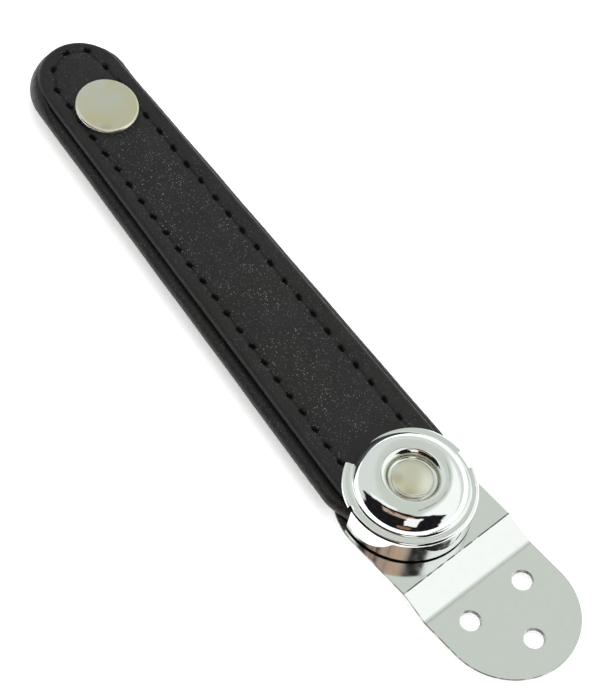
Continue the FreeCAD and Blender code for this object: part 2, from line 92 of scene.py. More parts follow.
# ---------------------------------------------------------------- what a user would change
class StrapShape(bpy.types.PropertyGroup):
    """Sizes of the strap's layers, in millimetres on the strap's own axes."""

    upper_half_width: bpy.props.FloatProperty(
        name="Upper half width", description="Half width of the upper leather near the cup", default=13.6, min=5)
    upper_tip_radius: bpy.props.FloatProperty(
        name="Upper tip radius", description="Radius of the upper leather's round end", default=10.4, min=3)
    upper_tip_x: bpy.props.FloatProperty(
        name="Upper tip", description="Distance from the pivot to the upper leather's end", default=138.6, min=30)
    lower_half_width: bpy.props.FloatProperty(
        name="Lower half width", description="Half width of the lower leather near the cup", default=16.2, min=5)
    lower_tip_radius: bpy.props.FloatProperty(
        name="Lower tip radius", description="Radius of the lower leather's round end", default=12.4, min=3)
    lower_tip_x: bpy.props.FloatProperty(
        name="Lower tip", description="Distance from the pivot to the lower leather's end", default=139.7, min=30)
    skin: bpy.props.FloatProperty(
        name="Leather thickness", description="Thickness of both leathers", default=0.6, min=0.2, max=2)
    pillow: bpy.props.FloatProperty(
        name="Pillow", description="How far the foam lifts the leather between the stitch rows", default=0.4, min=0)
    seam_sink: bpy.props.FloatProperty(
        name="Seam sink", description="How far the thread pulls the leather down along each row", default=0.3, min=0)
    hole_depth: bpy.props.FloatProperty(
        name="Hole depth", description="Depth of the pit at each stitch hole", default=0.9, min=0)


class StitchShape(bpy.types.PropertyGroup):
    """Where the thread runs, in millimetres on the strap's own axes."""

    half_spacing: bpy.props.FloatProperty(
        name="Half spacing", description="Half distance between the rows at the pivot", default=9.64)
    taper: bpy.props.FloatProperty(
        name="Taper", description="How much each row comes in per millimetre of strap", default=0.0227, precision=4)
    offset: bpy.props.FloatProperty(
        name="Offset", description="Sideways shift of both rows", default=0.3)
    left_pitch: bpy.props.FloatProperty(
        name="Left pitch", description="Hole to hole along the left row", default=5.0, min=2)
    right_pitch: bpy.props.FloatProperty(
        name="Right pitch", description="Hole to hole along the right row", default=5.35, min=2)
    left_last: bpy.props.FloatProperty(
        name="Left last hole", description="Place of the left row's last hole before the tip", default=128.3)
    right_last: bpy.props.FloatProperty(
        name="Right last hole", description="Place of the right row's last hole before the tip", default=128.2)
    first: bpy.props.FloatProperty(
        name="First hole", description="No row goes nearer to the pivot than this", default=7.0)
    thread_radius: bpy.props.FloatProperty(
        name="Thread radius", description="Radius of the sewing thread", default=0.2, min=0.05)


class Colours(bpy.types.PropertyGroup):
    """Main colours and glosses."""

    upper_leather: bpy.props.FloatVectorProperty(
        name="Upper leather", description="Colour of the upper leather", subtype="COLOR",
        default=(0.0098, 0.0100, 0.0096))
    lower_leather: bpy.props.FloatVectorProperty(
        name="Lower leather", description="Colour of the lower leather", subtype="COLOR",
        default=(0.0092, 0.0094, 0.0090))
    thread: bpy.props.FloatVectorProperty(
        name="Thread", description="Colour of the sewing thread", subtype="COLOR", default=(0.006, 0.006, 0.007))
    chrome: bpy.props.FloatVectorProperty(
        name="Chrome", description="Colour of the plate and cup", subtype="COLOR", default=(0.80, 0.82, 0.80))
    nickel: bpy.props.FloatVectorProperty(
        name="Nickel", description="Colour of the press stud and rivet button", subtype="COLOR",
        default=(0.62, 0.61, 0.52))
    chrome_roughness: bpy.props.FloatProperty(
        name="Chrome roughness", description="Roughness of the chrome", subtype="FACTOR",
        default=0.05, min=0, max=1)
    nickel_roughness: bpy.props.FloatProperty(
        name="Nickel roughness", description="Roughness of the nickel", subtype="FACTOR",
        default=0.36, min=0, max=1)
    leather_roughness: bpy.props.FloatProperty(
        name="Leather roughness", description="Roughness of the leather", subtype="FACTOR",
        default=0.52, min=0, max=1)


class Studio(bpy.types.PropertyGroup):
    """Floor, lights and camera."""

    floor_size: bpy.props.FloatProperty(
        name="Floor size", description="Side of the floor", subtype="DISTANCE", unit="LENGTH", default=4.0)
    tent: bpy.props.FloatProperty(
        name="Tent light", description="Brightness of the light tent", default=0.95, min=0)
    lens: bpy.props.FloatProperty(
        name="Lens", description="Focal length of the camera", subtype="DISTANCE_CAMERA",
        unit="CAMERA", default=234.8)


# ---------------------------------------------------------------- materials
class Wire:
    """A shader socket that can be used in sums."""

    def __init__(self, finish, socket):
        self.finish = finish
        self.socket = socket

    def sum_with(self, operation, left, right):
        return self.finish.node("ShaderNodeMath", {"operation": operation}, {0: left, 1: right})

    def __add__(self, other):
        return self.sum_with("ADD", self, other)

    def __sub__(self, other):
        return self.sum_with("SUBTRACT", self, other)

    def __mul__(self, other):
        return self.sum_with("MULTIPLY", self, other)


class Finish:
    """A node material while it is being wired."""

    def __init__(self, name, tree=None):
        if tree is None:
            self.material = bpy.data.materials.new(name)
            self.material.use_nodes = True
            tree = self.material.node_tree
            self.shader = tree.nodes["Principled BSDF"]
        self.tree = tree

    def node(self, kind, settings=None, sockets=None, out=0):
        """Any node: its settings first, then the values or wires of its sockets."""
        made = self.tree.nodes.new(kind)
        for key, value in (settings or {}).items():
            setattr(made, key, value)
        for key, value in (sockets or {}).items():
            self.feed(made.inputs[key], value)
        return Wire(self, made.outputs[out])

    def feed(self, target, value):
        if isinstance(value, Wire):
            self.tree.links.new(value.socket, target)
        elif hasattr(target.default_value, "__len__") and len(target.default_value) == 4 and len(value) == 3:
            target.default_value = (*value, 1)
        else:
            target.default_value = value

    def set(self, **sockets):
        for key, value in sockets.items():
            self.feed(self.shader.inputs[key.replace("_", " ")], value)

    def place(self, stretch=(1, 1, 1), turn=0.0):
        """Object coordinates, centred on the pivot and turned onto the strap when asked."""
        where = self.node("ShaderNodeTexCoord", out=3)
        moved = self.node("ShaderNodeMapping", {"vector_type": "POINT"},
                          {"Vector": where, "Location": (-PIVOT.x, -PIVOT.y, 0)})
        return self.node("ShaderNodeMapping", {"vector_type": "POINT"},
                         {"Vector": moved, "Rotation": (0, 0, turn), "Scale": stretch})

    def noise(self, where, scale, detail=3.0, roughness=0.55, distortion=0.0):
        return self.node("ShaderNodeTexNoise", {}, {
            "Vector": where, "Scale": scale, "Detail": detail, "Roughness": roughness, "Distortion": distortion})

    def cells(self, where, scale, feature="F1", out=0):
        return self.node("ShaderNodeTexVoronoi", {"feature": feature}, {"Vector": where, "Scale": scale}, out)

    def step(self, value, low, high, start=0.0, end=1.0):
        return self.node("ShaderNodeMapRange", {"interpolation_type": "SMOOTHSTEP"}, {
            "Value": value, "From Min": low, "From Max": high, "To Min": start, "To Max": end})

    def mix(self, factor, first, second):
        return self.node("ShaderNodeMix", {"data_type": "RGBA"}, {0: factor, 6: first, 7: second}, 2)

    def attribute(self, name):
        return self.node("ShaderNodeAttribute", {"attribute_name": name}, out=2)

    def bump(self, height, strength, depth, normal=None):
        sockets = {"Height": height, "Strength": strength, "Distance": depth}
        if normal is not None:
            sockets["Normal"] = normal
        return self.node("ShaderNodeBump", {}, sockets)


STRAP_TURN = -math.atan2(ALONG.y, ALONG.x)


def leather(name, colour, roughness, painted_glint_amount):
    """Fine-grained black leather with painted glints on its grain; attributes on the mesh say where it is grained or
    pulled, and where shade is painted in near black.
    """
    f = Finish(name)
    where = f.place(turn=STRAP_TURN)
    grained = f.attribute("grain")
    dark = f.attribute("dark")
    pores = f.cells(where, 2300)
    creases = f.cells(where, 1250, "DISTANCE_TO_EDGE")
    stretched = f.place((0.55, 1.3, 1), STRAP_TURN)
    fibres = f.noise(stretched, 1500, 4, 0.6)
    soft = f.noise(where, 55, 3)
    blotch = f.noise(where, 160, 4, 0.6, 0.4)
    grain = f.step(pores, 0.15, 0.75) * 0.55 + f.step(creases, 0.0, 0.16) * 0.35 + fibres * 0.5
    relief = grain * (grained * 0.85 + 0.15)
    lift = f.bump(relief, 0.55, 0.00016)
    lift = f.bump(soft, 0.25, 0.0012, lift)
    shade = f.mix(f.step(blotch, 0.35, 0.7), [c * 0.86 for c in colour], [c * 1.16 for c in colour])
    warm = (colour[0] * 1.12, colour[1] * 1.0, colour[2] * 0.92)
    shade = f.mix(f.step(soft, 0.5, 0.72, 0.0, 0.6), shade, warm)
    # painted highlights: tiny pale dots on the grain crests stand in for the glints of light on the grain
    glint_pick = f.node("ShaderNodeSeparateColor", {}, {0: f.cells(where, 2100, out=1)})
    dots = f.cells(where, 2100)
    patches = f.step(f.noise(where, 240, 2), 0.40, 0.66)
    specks = f.step(glint_pick, 0.25, 0.95) * f.step(dots, 0.38, 0.12) * (patches * 0.6 + 0.4) * grained
    shade = f.mix(specks * painted_glint_amount, shade, (0.30, 0.30, 0.30))
    # painted shade: near black in the stitch holes, along the sunk seams and in the groove above the lower leather's
    # roll, where the mesh's attribute marks them
    shade = f.mix(dark, shade, (0.0012, 0.0012, 0.0012))
    gloss = f.step(fibres, 0.3, 0.7, roughness - 0.07, roughness + 0.09) + dark * 0.3
    f.set(Base_Color=shade, Roughness=gloss, Normal=lift)
    f.set(Specular_IOR_Level=0.26)
    return f.material


def chrome(name, colour, roughness, crease_x=None):
    """Bright plate: almost a mirror, with a faint waviness, haze and hairline rubs; if asked, a painted near-black
    reflection line along the bend's crease and painted deep brown reflections on its side edges.
    """
    f = Finish(name)
    where = f.place()
    wave = f.noise(where, 45, 1.5)
    haze = f.noise(where, 420, 4, 0.6)
    rubs = f.noise(f.place((0.08, 1, 1), 0.7), 3200, 2)
    lift = f.bump(wave, 0.10, 0.0006)
    lift = f.bump(rubs, 0.02, 0.00005, lift)
    shade = f.mix(f.step(haze, 0.35, 0.75), colour, [c * 0.985 for c in colour])
    shade = f.mix(f.step(wave, 0.3, 0.8, 0, 0.35), shade, (colour[0] * 0.97, colour[1], colour[2] * 0.97))
    dull = f.step(haze, 0.4, 0.8, roughness * 0.8, roughness * 1.7)
    if crease_x is not None:
        split = f.node("ShaderNodeSeparateXYZ", {}, {0: where})
        # painted reflection: a thin broken near-black line along the upper bend stands in for the room seen in the
        # tight bend
        breaks = f.step(f.noise(f.place((1, 1, 0)), 330, 2, 0.6), 0.36, 0.50)
        line = f.step(split - crease_x, -0.00022, -0.00010) * f.step(split - crease_x, 0.00018, 0.00006)
        shade = f.mix(line * (breaks * 0.75 + 0.2), shade, (0.03, 0.028, 0.028))
        # painted reflection: the plate's side faces below its top are tinted deep brown, standing in for the room
        # reflected in the rounded edge
        facing = f.node("ShaderNodeSeparateXYZ", {}, {0: f.node("ShaderNodeNewGeometry", out=1)})
        up = Wire(f, facing.socket.node.outputs[2])
        level = Wire(f, split.socket.node.outputs[2])
        top = f.node("ShaderNodeMapRange", {}, {
            "Value": split, "From Min": FOOT_X, "From Max": BEND_X, "To Min": FOOT_TOP, "To Max": PAD_TOP})
        painted_edge_reflection = f.step(top - level, 0.00078, 0.00052) * f.step(up, 0.5, 0.2)
        shade = f.mix(painted_edge_reflection * (breaks * 0.35 + 0.6), shade, (0.075, 0.052, 0.045))
        dull = dull + f.step(up, 0.9, 0.8) * f.step(up, -0.2, 0.1) * 0.35
    f.set(Base_Color=shade, Roughness=dull, Normal=lift)
    f.set(Metallic=1.0)
    return f.material


def nickel(name, colour, roughness, centre, middle, radius):
    """Satin nickel with a soft cloudiness, fine rubs, one warm tarnish spot and a painted highlight on the rim's
    near side.
    """
    f = Finish(name)
    where = f.place()
    cloud = f.noise(where, 130, 3, 0.55, 0.5)
    fine = f.noise(where, 2600, 3)
    rubs = f.noise(f.place((0.1, 1, 1), 1.1), 4200, 2)
    warm = (colour[0] * 1.05, colour[1] * 0.98, colour[2] * 0.80)
    pale = (colour[0] * 1.02, colour[1] * 1.06, colour[2] * 1.12)
    shade = f.mix(f.step(cloud, 0.3, 0.7), warm, pale)
    spot = f.node("ShaderNodeVectorMath", {"operation": "DISTANCE"}, {0: where, 1: centre}, 1)
    shade = f.mix(f.step(spot, 0.0022, 0.0004, 0, 0.35), shade, (0.36, 0.27, 0.16))
    lift = f.bump(fine, 0.10, 0.00005)
    lift = f.bump(rubs, 0.05, 0.00004, lift)
    # painted highlight: a pale crescent on the near side of the rim stands in for the floor's light reflected there
    flat = f.node("ShaderNodeVectorMath", {"operation": "MULTIPLY"}, {0: where, 1: (1, 1, 0)})
    out = f.node("ShaderNodeVectorMath", {"operation": "DISTANCE"}, {0: flat, 1: (middle[0], middle[1], 0)}, 1)
    front = f.node("ShaderNodeVectorMath", {"operation": "DOT_PRODUCT"}, {0: where, 1: NEAR}, 1)
    front = front - (middle[0] * NEAR[0] + middle[1] * NEAR[1])
    rim = f.step(out, radius * 0.88, radius * 0.97) * f.step(front, radius * 0.2, radius * 0.8)
    shade = f.mix(rim, shade, (0.98, 0.96, 0.86))
    satin = f.step(cloud, 0.25, 0.8, roughness * 0.85, roughness * 1.3)
    f.set(Base_Color=shade, Roughness=satin, Normal=lift)
    f.set(Metallic=1.0)
    return f.material


def plain_metal(name, colour, roughness, scale=900.0):
    """Inner steel or brass: turned grain, cloudiness and a little dullness."""
    f = Finish(name)
    where = f.place()
    cloud = f.noise(where, 300, 3)
    grain = f.noise(f.place((1, 1, 9)), scale, 3)
    shade = f.mix(f.step(cloud, 0.3, 0.75), colour, [c * 0.72 for c in colour])
    f.set(Base_Color=shade, Roughness=f.step(grain, 0.3, 0.7, roughness * 0.8, roughness * 1.4))
    f.set(Metallic=1.0, Normal=f.bump(grain, 0.2, 0.00006))
    return f.material


def fibrous(name, colour, scale, roughness=0.9):
    """Felt, foam, board and fibre: matted specks with a soft relief."""
    f = Finish(name)
    where = f.place()
    mat = f.noise(where, scale, 5, 0.7, 0.6)
    cells = f.cells(where, scale * 1.7)
    shade = f.mix(f.step(mat, 0.3, 0.7), [c * 0.7 for c in colour], [c * 1.35 for c in colour])
    f.set(Base_Color=shade, Roughness=f.step(cells, 0.1, 0.8, roughness - 0.12, roughness))
    f.set(Normal=f.bump(mat + cells * 0.5, 0.6, 0.0002), Specular_IOR_Level=0.25)
    return f.material


def waxed_thread(name, colour, roughness):
    """Twisted, waxed sewing thread; its own attribute runs along the twist."""
    f = Finish(name)
    twist = f.attribute("twist")
    ply = f.node("ShaderNodeMath", {"operation": "SINE"}, {0: twist})
    fuzz = f.noise(f.place(), 5200, 2)
    shade = f.mix(f.step(ply, -0.6, 0.8), [c * 0.5 for c in colour], [c * 1.9 for c in colour])
    f.set(Base_Color=shade, Roughness=f.step(fuzz, 0.3, 0.7, roughness - 0.08, roughness + 0.12))
    f.set(Normal=f.bump(ply + fuzz * 0.4, 0.7, 0.00008), Specular_IOR_Level=0.5)
    return f.material


# ---------------------------------------------------------------- mesh helpers
def deselect():
    if bpy.context.mode != "OBJECT":
        bpy.ops.object.mode_set(mode="OBJECT")
    bpy.ops.object.select_all(action="DESELECT")


def make_active(piece):
    deselect()
    piece.select_set(True)
    bpy.context.view_layer.objects.active = piece


def vertices(piece):
    co = np.zeros(len(piece.data.vertices) * 3, np.float32)
    piece.data.vertices.foreach_get("co", co)
    return co.reshape(-1, 3).astype(float)


def put_vertices(piece, co):
    piece.data.vertices.foreach_set("co", np.asarray(co, np.float32).ravel())
    piece.data.update()


def put_attribute(piece, name, values):
    layer = piece.data.attributes.get(name) or piece.data.attributes.new(name, "FLOAT", "POINT")
    layer.data.foreach_set("value", np.asarray(values, np.float32))


def get_attribute(piece, name):
    values = np.zeros(len(piece.data.vertices), np.float32)
    piece.data.attributes[name].data.foreach_get("value", values)
    return values.astype(float)


def apply_modifier(piece, kind, **settings):
    make_active(piece)
    made = piece.modifiers.new(kind.title(), kind)
    for key, value in settings.items():
        setattr(made, key, value)
    bpy.ops.object.modifier_apply(modifier=made.name)


def smooth(piece, degrees=40):
    make_active(piece)
    bpy.ops.object.shade_smooth_by_angle(angle=math.radians(degrees))


def paint(piece, material):
    piece.data.materials.clear()
    piece.data.materials.append(material)


def select_open_rim():
    """In edit mode, selects just the edges that have a face on one side."""
    bpy.ops.mesh.select_mode(type="EDGE")
    bpy.ops.mesh.select_all(action="DESELECT")
    bpy.ops.mesh.select_non_manifold(extend=False, use_wire=False, use_multi_face=False,
                                     use_non_contiguous=False, use_verts=False, use_boundary=True)


def faces_outward():
    """In edit mode, turns every face's normal out."""
    bpy.ops.mesh.select_all(action="SELECT")
    bpy.ops.mesh.normals_make_consistent(inside=False)


def ease(value, low, high):
    t = np.clip((value - low) / (high - low), 0, 1)
    return t * t * (3 - 2 * t)


def waves(x, y, scale, seed):
    """Smooth, repeatable unevenness from a few crossing waves, about -1 to 1."""
    total = np.zeros_like(x)
    for k in range(5):
        angle = seed * 1.7 + k * 2.4
        rate = (1 + 0.37 * k) / scale
        total += np.sin(x * rate * math.cos(angle) + y * rate * math.sin(angle) + seed * 3.1 + k * 1.3)
    return total / 3.2


# ---------------------------------------------------------------- the strap's outline
def outline(half_w, tip_r, tip_x, inset, end_deg=48.0, root_deg=132.0):
    """Left side from the root arc round to the tip arc, as a dense polyline, and both end arcs' radii."""
    root = min(14.5, half_w) - inset
    width = half_w - inset
    radius = tip_r - inset
    centre = tip_x - tip_r
    span = centre - 20.0
    aim = math.atan2(width, span) - math.asin(radius / math.hypot(span, width))
    touch_deg = 90 - math.degrees(aim)
    shoulder = width + 11.0 * math.tan(aim)
    points = [(root * math.cos(math.radians(a)), root * math.sin(math.radians(a)))
              for a in np.linspace(root_deg, 90, 40)]
    shoulder_x = np.linspace(1.0, 9.0, 30)
    blend = ease(shoulder_x, 1.0, 9.0)
    points += list(zip(shoulder_x, root + (shoulder - root) * blend))
    points += list(zip(np.linspace(9.3, centre + radius * math.sin(aim), 200),
                       np.linspace(shoulder - 0.3 * math.tan(aim), radius * math.cos(aim), 200)))
    points += [(centre + radius * math.cos(math.radians(a)), radius * math.sin(math.radians(a)))
               for a in np.linspace(touch_deg, end_deg, 60)[1:]]
    return np.array(points), root, radius, centre, end_deg, root_deg


def along_line(points, share):
    """Points at shares of a polyline's length."""
    step = np.r_[0, np.cumsum(np.hypot(*np.diff(points, axis=0).T))]
    return np.c_[np.interp(share * step[-1], step, points[:, 0]), np.interp(share * step[-1], step, points[:, 1])]


def strap_plan(u, v, size, inset):
    """Plan of a strap layer at shares u along (0 root, 1 tip) and v across (-1 to 1)."""
    side, root, radius, centre, end_deg, root_deg = outline(*size, inset)
    top = along_line(side, u)
    low = top * (1, -1)
    share = (v + 1) / 2
    tip_angle = np.radians(end_deg) * v
    root_angle = np.radians(180 - (180 - root_deg) * v)
    tip_arc = np.c_[centre + radius * np.cos(tip_angle), radius * np.sin(tip_angle)]
    root_arc = np.c_[root * np.cos(root_angle), root * np.sin(np.radians((180 - root_deg) * v))]
    corner = []
    for middle, reach, degrees in ((0, root, root_deg), (centre, radius, end_deg)):
        angle = math.radians(degrees)
        upper = np.array((middle + reach * math.cos(angle), reach * math.sin(angle)))
        corner.append((upper, upper * (1, -1)))
    a, b = share[:, None], u[:, None]
    ruled = (1 - a) * low + a * top + (1 - b) * root_arc + b * tip_arc
    fill = ((1 - a) * (1 - b) * corner[0][1] + a * (1 - b) * corner[0][0]
            + (1 - a) * b * corner[1][1] + a * b * corner[1][0])
    return ruled - fill


def sheet_with_edge(name, size, columns, rows, inset, edge, face_z):
    """A leather sheet: a grid over the layer's plan, its rim extruded out and round in rings.

    rows are shares across from -1 to 1; edge is a list of (out, z) in mm from the layer's outline.
    Returns the piece with each vertex's plan place (mm), its ring number and its outline normal.
    """
    deselect()
    across = len(rows)
    bpy.ops.mesh.primitive_grid_add(x_subdivisions=columns - 1, y_subdivisions=across - 1, size=2)
    piece = bpy.context.object
    piece.name = name
    piece.data.name = name
    raw = vertices(piece)
    u = (raw[:, 0] + 1) / 2
    row = np.rint((raw[:, 1] + 1) / 2 * (across - 1)).astype(int)
    v = np.asarray(rows)[row]
    plan = strap_plan(u, v, size, inset)
    out = (np.abs(raw) > 0.99999)[:, :2].any(axis=1)
    normal = rim_normals(piece, plan, out)
    for key, values in (("plan_x", plan[:, 0]), ("plan_y", plan[:, 1]), ("ring", np.zeros(len(u))),
                        ("out_x", normal[:, 0]), ("out_y", normal[:, 1])):
        put_attribute(piece, key, values)
    put_vertices(piece, np.c_[plan, np.full(len(u), face_z)])
    make_active(piece)
    bpy.ops.object.mode_set(mode="EDIT")
    select_open_rim()
    for _ring in edge:
        bpy.ops.mesh.extrude_edges_move(TRANSFORM_OT_translate={"value": (0, 0, 0)})
    bpy.ops.object.mode_set(mode="OBJECT")
    start = len(raw)
    per_ring = (len(piece.data.vertices) - start) // len(edge)
    ring = get_attribute(piece, "ring")
    co = vertices(piece)
    plan_x, plan_y = get_attribute(piece, "plan_x"), get_attribute(piece, "plan_y")
    out_x, out_y = get_attribute(piece, "out_x"), get_attribute(piece, "out_y")
    for number, (reach, height) in enumerate(edge):
        chosen = slice(start + number * per_ring, start + (number + 1) * per_ring)
        ring[chosen] = number + 1
        plan_x[chosen] += out_x[chosen] * (inset + reach)
        plan_y[chosen] += out_y[chosen] * (inset + reach)
        co[chosen, 0], co[chosen, 1], co[chosen, 2] = plan_x[chosen], plan_y[chosen], height
    put_attribute(piece, "ring", ring)
    put_attribute(piece, "plan_x", plan_x)
    put_attribute(piece, "plan_y", plan_y)
    put_vertices(piece, co)
    return piece


SPINE_END = 125.0  # the strap's middle line runs from the pivot to here, in mm


def rim_normals(piece, plan, rim):
    """Outward plan normals at the grid's rim, from its neighbours along the rim."""
    normal = np.zeros((len(plan), 2))
    links = {}
    for edge in piece.data.edges:
        a, b = edge.vertices
        if rim[a] and rim[b]:
            links.setdefault(a, []).append(b)
            links.setdefault(b, []).append(a)
    for here, near in links.items():
        if len(near) < 2:
            continue
        run = plan[near[0]] - plan[near[1]]
        side = np.array((run[1], -run[0]))
        side /= max(np.hypot(*side), 1e-9)
        outward = plan[here] - (min(max(plan[here][0], 0.0), SPINE_END), 0)
        normal[here] = side if side @ outward > 0 else -side
    return normal


def strap_point(piece):
    return get_attribute(piece, "plan_x"), get_attribute(piece, "plan_y"), get_attribute(piece, "ring")


def finish_sheet(piece, skin, flip):
    """Moves the sheet onto the strap, turns its faces out and gives it thickness."""
    put_vertices(piece, strap_to_row(vertices(piece)))
    make_active(piece)
    bpy.ops.object.mode_set(mode="EDIT")
    faces_outward()
    bpy.ops.object.mode_set(mode="OBJECT")
    middle = min(piece.data.polygons, key=lambda p: (p.center - FLEX).length)
    if (middle.normal.z < 0) != flip:
        make_active(piece)
        bpy.ops.object.mode_set(mode="EDIT")
        bpy.ops.mesh.select_all(action="SELECT")
        bpy.ops.mesh.flip_normals()
        bpy.ops.object.mode_set(mode="OBJECT")
    apply_modifier(piece, "SOLIDIFY", thickness=skin * MM, offset=-1, use_even_offset=True)
    smooth(piece, 60)


def bend_with_strap(piece):
    """Bakes the piece's transform into its mesh."""
    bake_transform(piece)


# ---------------------------------------------------------------- stitch places
def row_y(x, side):
    s = bpy.context.scene.strap_stitches
    return s.offset + side * (s.half_spacing - s.taper * x)


def row_holes(side):
    """Hole places of one row from the tip end towards the cup, each a little off its even place."""
    s = bpy.context.scene.strap_stitches
    pitch, x = (s.left_pitch, s.left_last) if side > 0 else (s.right_pitch, s.right_last)
    holes = []
    count = 0
    while x > s.first:
        wobble = 0.10 * math.sin(count * 2.3 + side)
        holes.append((x + wobble, row_y(x, side) + 0.09 * math.sin(count * 1.7 + 2 * side)))
        x -= pitch
        count += 1
    return holes


TIP_HOLES = [(133.7, 4.5), (136.0, -0.7), (134.1, -5.4)]  # round the tip, in mm, from left to right
TIP_HOLE_TURNS = (-1.0, 1.35, 0.9)
ROWS_MIDDLE, ROWS_MARGIN, TIP_STITCHES_FROM = 0.3, 0.3, 134  # mm


def all_runs():
    """Every visible run of thread, by row."""
    left, right = row_holes(1), row_holes(-1)
    tip = [left[0], *TIP_HOLES, right[0]]
    return {"left": list(zip(left, left[1:])), "right": list(zip(right, right[1:])), "tip": list(zip(tip, tip[1:]))}


def between_rows(x, y):
    """Which points lie between the two stitch rows and short of the tip's stitches."""
    return (np.abs(y - ROWS_MIDDLE) < row_y(x, 1) - ROWS_MARGIN) & (x < TIP_STITCHES_FROM)


def distance_to_runs(x, y):
    """Distance from each point to the nearest run of thread."""
    nearest = np.full(len(x), 1e3)
    for (ax, ay), (bx, by) in (run for row in all_runs().values() for run in row):
        dx, dy = bx - ax, by - ay
        t = np.clip(((x - ax) * dx + (y - ay) * dy) / (dx * dx + dy * dy), 0, 1)
        nearest = np.minimum(nearest, np.hypot(x - ax - t * dx, y - ay - t * dy))
    return nearest


def hole_depth_at(x, y):
    """How deep each point lies in an oblong stitch hole, 0 to 1."""
    deep = np.zeros(len(x))
    for side, turn in ((1, 0.35), (-1, -0.15)):
        for hx, hy in row_holes(side):
            deep = np.maximum(deep, oblong(x - hx, y - hy, turn))
    for (hx, hy), turn in zip(TIP_HOLES, TIP_HOLE_TURNS):
        deep = np.maximum(deep, oblong(x - hx, y - hy, turn))
    return deep


def oblong(dx, dy, turn):
    """How far each offset from a hole's middle lies inside its rounded slot, 0 to 1."""
    half_long, half_short = 0.86, 0.56
    along = dx * math.cos(turn) + dy * math.sin(turn)
    across = -dx * math.sin(turn) + dy * math.cos(turn)
    return 1 - ease(((along / half_long) ** 4 + (across / half_short) ** 4) ** 0.25, 0.72, 1.12)


def surface_lift(x, y):
    """Height of the upper leather over its flat level, in mm, without the holes."""
    shape = bpy.context.scene.strap_shape
    away = distance_to_runs(x, y)
    inner = between_rows(x, y)
    swell = np.where(inner, shape.pillow, shape.pillow * 0.35) * ease(away, 0.2, 5.5)
    sink = shape.seam_sink * (1 - ease(away, 0.15, 1.5))
    near_cap = 1 - ease(np.hypot(x - STUD_X, y), SEAT_R - 0.2, SEAT_R + 3.2)
    near_cup = 1 - ease(np.hypot(x, y), 14.5, 20.0)
    uneven = 0.10 * waves(x, y, 9.0, 2.0) + 0.03 * waves(x, y, 2.4, 5.0)
    lift = (swell + uneven * ease(away, 0.3, 3.0)) * (1 - near_cap) * (1 - near_cup)
    return lift - sink * (1 - near_cup) - 0.04 * near_cap - 0.02


# ---------------------------------------------------------------- leather, padding and thread
def row_shares():
    """Shares across the upper leather, close together along the stitch rows."""
    half = np.concatenate([np.linspace(0, 0.60, 15)[:-1], np.linspace(0.60, 0.92, 22), [0.96, 1.0]])
    return list(-half[:0:-1]) + list(half)


def edge_arc(radius, z, start, end, count):
    """Points (out, z) of an arc that touches the outline from inside, between two angles in degrees."""
    return [(-radius + radius * math.cos(a), z + radius * math.sin(a))
            for a in map(math.radians, np.linspace(start, end, count))]


class STRAP_OT_upper_leather(bpy.types.Operator):
    """Upper leather: pillowed between sunk stitch rows and turned down round its edge"""

    bl_idname = "strap.upper_leather"
    bl_label = "Upper leather"

    def execute(self, context):
        shape, colours = context.scene.strap_shape, context.scene.strap_colours
        size = (shape.upper_half_width, shape.upper_tip_radius, shape.upper_tip_x)
        top_r, low_r, inset = 1.15, 0.75, 1.3
        edge = edge_arc(top_r, STRAP_TOP - top_r, 84, 0, 7) + edge_arc(low_r, UPPER_LOW + low_r, 0, -90, 6)
        edge += [(-1.6, UPPER_LOW), (-2.8, UPPER_LOW)]
        piece = sheet_with_edge("upper_leather", size, 400, row_shares(), inset, edge, STRAP_TOP)
        x, y, ring = strap_point(piece)
        co = vertices(piece)
        level = 1 - ease(ring, 0, 6)
        deep = hole_depth_at(x, y) * (ring == 0)
        under_cup = 1 - ease(np.hypot(x, y), 13.0, 15.5)
        co[:, 2] += surface_lift(x, y) * level * (1 - under_cup) - under_cup * 0.05 * level
        co[:, 2] -= deep * shape.hole_depth * (1 - under_cup)
        tip = ease(x, 124.0, 131.0)
        low_side = ease(ring, 8, 12)
        co[:, 2] -= tip * low_side * 0.45
        co[:, 2] += 0.07 * waves(x, y, 5.0, 9.0) * ease(ring, 2, 5) * (1 - ease(ring, 11, 13))
        put_vertices(piece, co)
        away = distance_to_runs(x, y)
        inside = between_rows(x, y) & (ring == 0)
        grain = np.where(inside, 1.0, 0.38) * ease(np.hypot(x, y), 15.4, 18.0)
        grain *= 0.45 + 0.55 * (1 - ease(x, 85, 128))
        put_attribute(piece, "grain", np.maximum(grain, 0.75 * (1 - ease(away, 0.4, 1.4))) * (ring < 2))
        # painted shade: marks the stitch holes and the leather right beside each thread run to be painted near black
        put_attribute(piece, "dark", np.clip(ease(deep, 0.15, 0.6) + 0.5 * (1 - ease(away, 0.1, 0.5)), 0, 1))
        finish_sheet(piece, shape.skin, False)
        paint(piece, leather("upper_grain_leather", tuple(colours.upper_leather), colours.leather_roughness, 0.55))
        bend_with_strap(piece)
        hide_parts("upper_leather_root", "upper_leather_free")
        return {"FINISHED"}


